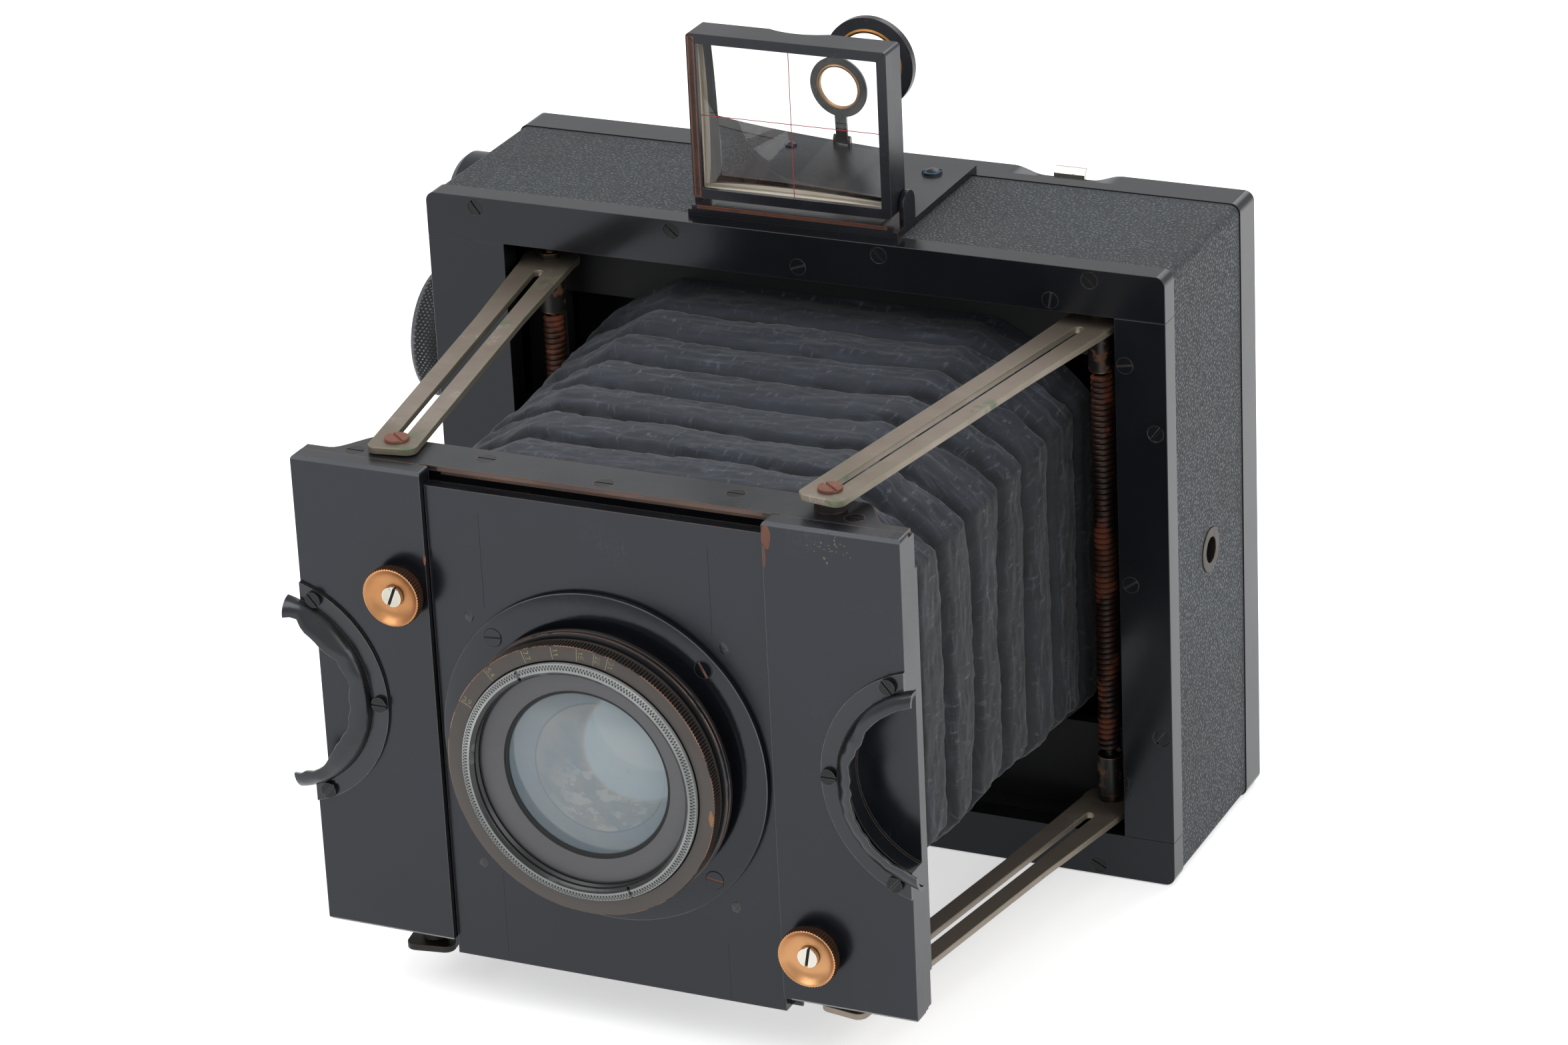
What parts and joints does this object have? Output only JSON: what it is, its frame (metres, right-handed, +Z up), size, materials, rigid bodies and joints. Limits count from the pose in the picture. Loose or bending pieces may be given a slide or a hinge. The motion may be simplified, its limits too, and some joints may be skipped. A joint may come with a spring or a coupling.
{
  "type": "folding strut camera",
  "caption": "Wooden plate camera with a front standard on slotted struts that spring out from two upright rods, bellows, rising lens board and folding finder.",
  "frame": {"origin": "centre of the mouth of the tripod bush in the base", "axes": "+X to the right seen from the front, +Y to the rear, +Z up"},
  "size_m": [0.2077, 0.1912, 0.201],
  "materials": {
    "lacquered_wood": "black lacquer, satin, rubbed at the edges",
    "black_board": "flat black",
    "roller_wood": "plain",
    "leather": "fine pebble grain, dark blue-grey",
    "bellows_cloth": "matt, scuffed along the folds",
    "shutter_cloth": "rubberised, flat black",
    "black_metal": "black lacquer with brown worn edges",
    "black_steel": "blackened, partly rusted",
    "rusty_steel": "dark rust",
    "blued_screws": "worn, slotted",
    "strut_nickel_silver": "dull nickel silver with green verdigris",
    "nickel": "dull nickel plate",
    "brass": "plain",
    "copper": "bare copper-coloured brass, scratched",
    "lens_black_brass": "black lacquer with brassy edges",
    "grey_ring": "smooth dark grey",
    "knurled_grey": "grey, finely knurled",
    "bronze_ring": "dark bronze with a copper edge",
    "blade_steel": "blued, matt",
    "lens_glass": "polished, slightly hazy",
    "finder_glass": "polished, ground edges",
    "ground_glass": "finely ground"
  },
  "bodies": {
    "camera_body": {"body_box": "lacquered_wood", "leather_covering": "leather", "front_frame_rails": "lacquered_wood", "front_frame_stiles": "lacquered_wood", "body_screws": "blued_screws", "rear_frame": "lacquered_wood", "ground_glass_frame": "lacquered_wood", "ground_glass": "ground_glass", "tripod_bushes": "brass", "shutter_partition": "black_board", "plate_mask": "black_board", "shutter_curtain": "shutter_cloth", "gear_plate": "brass", "finder_base": "black_metal", "bellows": "bellows_cloth"},
    "catch": {"back_catch": "nickel"},
    "winding": {"winding_knob": "nickel", "winding_gear": "brass"},
    "idler": {"idler_gear": "brass"},
    "take_up": {"upper_roller": "roller_wood", "slit_dial": "nickel"},
    "supply": {"lower_roller": "roller_wood"},
    "struts_right": {"strut_right_top": "strut_nickel_silver", "strut_right_bottom": "strut_nickel_silver", "rod_right": "black_steel", "torsion_spring_right": "rusty_steel"},
    "struts_left": {"strut_left_top": "strut_nickel_silver", "strut_left_bottom": "strut_nickel_silver", "rod_left": "black_steel", "torsion_spring_left": "rusty_steel"},
    "studs_right": {"strut_screws_right": "rusty_steel"},
    "studs_left": {"strut_screws_left": "rusty_steel"},
    "standard": {"standard_board": "lacquered_wood", "side_panels": "lacquered_wood", "edge_plates": "black_metal", "spacer_bushes": "black_steel", "finger_grips": "black_metal", "standard_screws": "blued_screws"},
    "clamp_upper": {"clamp_knob_upper": "copper"},
    "clamp_lower": {"clamp_knob_lower": "copper"},
    "lens_panel": {"lens_board": "lacquered_wood", "lens_flange": "lens_black_brass", "lens_barrel": "lens_black_brass", "front_ring": "grey_ring", "retaining_ring": "knurled_grey", "lens_glasses": "lens_glass"},
    "aperture": {"aperture_ring": "bronze_ring"},
    "finder": {"finder_frame": "black_metal", "finder_lens": "finder_glass"},
    "eyepiece": {"eyepiece": "black_metal"},
    "blade_1": {"iris_blade_1": "blade_steel"},
    "blade_2": {"iris_blade_2": "blade_steel"},
    "blade_3": {"iris_blade_3": "blade_steel"},
    "blade_4": {"iris_blade_4": "blade_steel"},
    "blade_5": {"iris_blade_5": "blade_steel"},
    "blade_6": {"iris_blade_6": "blade_steel"},
    "blade_7": {"iris_blade_7": "blade_steel"},
    "blade_8": {"iris_blade_8": "blade_steel"},
    "blade_9": {"iris_blade_9": "blade_steel"},
    "blade_10": {"iris_blade_10": "blade_steel"}
  },
  "joints": [
    {"name": "fold", "type": "slide", "parent": "camera_body", "child": "standard", "axis": [0, 1, 0], "range_m": [0, 0.1134], "deforming": ["bellows"]},
    {"name": "strut_turn_right", "type": "hinge", "parent": "camera_body", "child": "struts_right", "pos_m": [0.0752, -0.018, 0.0778], "axis": [0, 0, 1], "range_deg": [-80.84, 0]},
    {"name": "strut_turn_left", "type": "hinge", "parent": "camera_body", "child": "struts_left", "pos_m": [-0.0674, -0.018, 0.0778], "axis": [0, 0, 1], "range_deg": [0, 80.84]},
    {"name": "stud_slide_right", "type": "slide", "parent": "struts_right", "child": "studs_right", "axis": [0.1593, 0.9872, 0], "range_m": [0, 0.09658]},
    {"name": "stud_slide_left", "type": "slide", "parent": "struts_left", "child": "studs_left", "axis": [-0.1593, 0.9872, 0], "range_m": [0, 0.09658]},
    {"name": "lens_rise", "type": "slide", "parent": "standard", "child": "lens_panel", "axis": [0, 0, 1], "range_m": [-0.0035, 0.0105]},
    {"name": "clamp_turn_upper", "type": "hinge", "parent": "standard", "child": "clamp_upper", "pos_m": [-0.0444, -0.1431, 0.1071], "axis": [0, -1, 0], "range_deg": [0, 180]},
    {"name": "clamp_turn_lower", "type": "hinge", "parent": "standard", "child": "clamp_lower", "pos_m": [0.0538, -0.1431, 0.0338], "axis": [0, -1, 0], "range_deg": [0, 180]},
    {"name": "aperture_turn", "type": "hinge", "parent": "lens_panel", "child": "aperture", "pos_m": [0.0039, -0.1525, 0.0727], "axis": [0, -1, 0], "range_deg": [0, 75]},
    {"name": "blade_turn_1", "type": "hinge", "parent": "lens_panel", "child": "blade_1", "pos_m": [0.0319, -0.1445, 0.0727], "axis": [0, -1, 0], "range_deg": [0, 36.01]},
    {"name": "blade_turn_2", "type": "hinge", "parent": "lens_panel", "child": "blade_2", "pos_m": [0.02655, -0.1445, 0.08916], "axis": [0, -1, 0], "range_deg": [0, 36.01]},
    {"name": "blade_turn_3", "type": "hinge", "parent": "lens_panel", "child": "blade_3", "pos_m": [0.01255, -0.1445, 0.09933], "axis": [0, -1, 0], "range_deg": [0, 36.01]},
    {"name": "blade_turn_4", "type": "hinge", "parent": "lens_panel", "child": "blade_4", "pos_m": [-0.00475, -0.1445, 0.09933], "axis": [0, -1, 0], "range_deg": [0, 36.01]},
    {"name": "blade_turn_5", "type": "hinge", "parent": "lens_panel", "child": "blade_5", "pos_m": [-0.01875, -0.1445, 0.08916], "axis": [0, -1, 0], "range_deg": [0, 36.01]},
    {"name": "blade_turn_6", "type": "hinge", "parent": "lens_panel", "child": "blade_6", "pos_m": [-0.0241, -0.1445, 0.0727], "axis": [0, -1, 0], "range_deg": [0, 36.01]},
    {"name": "blade_turn_7", "type": "hinge", "parent": "lens_panel", "child": "blade_7", "pos_m": [-0.01875, -0.1445, 0.05624], "axis": [0, -1, 0], "range_deg": [0, 36.01]},
    {"name": "blade_turn_8", "type": "hinge", "parent": "lens_panel", "child": "blade_8", "pos_m": [-0.00475, -0.1445, 0.04607], "axis": [0, -1, 0], "range_deg": [0, 36.01]},
    {"name": "blade_turn_9", "type": "hinge", "parent": "lens_panel", "child": "blade_9", "pos_m": [0.01255, -0.1445, 0.04607], "axis": [0, -1, 0], "range_deg": [0, 36.01]},
    {"name": "blade_turn_10", "type": "hinge", "parent": "lens_panel", "child": "blade_10", "pos_m": [0.02655, -0.1445, 0.05624], "axis": [0, -1, 0], "range_deg": [0, 36.01]},
    {"name": "finder_fold", "type": "hinge", "parent": "camera_body", "child": "finder", "pos_m": [0, -0.0159, 0.1617], "axis": [1, 0, 0], "range_deg": [-88, 0]},
    {"name": "eyepiece_fold", "type": "hinge", "parent": "camera_body", "child": "eyepiece", "pos_m": [0, 0.025, 0.1592], "axis": [1, 0, 0], "range_deg": [0, 90]},
    {"name": "winding_turn", "type": "hinge", "parent": "camera_body", "child": "winding", "pos_m": [-0.095, 0.006, 0.105], "axis": [1, 0, 0], "continuous": true},
    {"name": "idler_turn", "type": "hinge", "parent": "camera_body", "child": "idler", "pos_m": [-0.086, 0.006, 0.126], "axis": [1, 0, 0], "continuous": true},
    {"name": "take_up_turn", "type": "hinge", "parent": "camera_body", "child": "take_up", "pos_m": [-0.086, 0.006, 0.141], "axis": [1, 0, 0], "continuous": true},
    {"name": "supply_turn", "type": "hinge", "parent": "camera_body", "child": "supply", "pos_m": [-0.086, 0.006, 0.0146], "axis": [1, 0, 0], "continuous": true},
    {"name": "catch_turn", "type": "hinge", "parent": "camera_body", "child": "catch", "pos_m": [0.0479, 0.0328, 0.1432], "axis": [0, 1, 0], "range_deg": [0, 100]}
  ],
  "couplings": [
    {"joint": "strut_turn_right", "follows": "fold", "rad_per_m": -12.441},
    {"joint": "strut_turn_left", "follows": "fold", "rad_per_m": 12.441},
    {"joint": "stud_slide_right", "follows": "fold", "ratio": 0.85156},
    {"joint": "stud_slide_left", "follows": "fold", "ratio": 0.85156},
    {"joint": "idler_turn", "follows": "winding_turn", "ratio": -1.3333},
    {"joint": "take_up_turn", "follows": "winding_turn", "ratio": 2},
    {"joint": "supply_turn", "follows": "winding_turn", "ratio": 2},
    {"joint": "blade_turn_1", "follows": "aperture_turn", "ratio": 0.48},
    {"joint": "blade_turn_2", "follows": "aperture_turn", "ratio": 0.48},
    {"joint": "blade_turn_3", "follows": "aperture_turn", "ratio": 0.48},
    {"joint": "blade_turn_4", "follows": "aperture_turn", "ratio": 0.48},
    {"joint": "blade_turn_5", "follows": "aperture_turn", "ratio": 0.48},
    {"joint": "blade_turn_6", "follows": "aperture_turn", "ratio": 0.48},
    {"joint": "blade_turn_7", "follows": "aperture_turn", "ratio": 0.48},
    {"joint": "blade_turn_8", "follows": "aperture_turn", "ratio": 0.48},
    {"joint": "blade_turn_9", "follows": "aperture_turn", "ratio": 0.48},
    {"joint": "blade_turn_10", "follows": "aperture_turn", "ratio": 0.48}
  ]
}
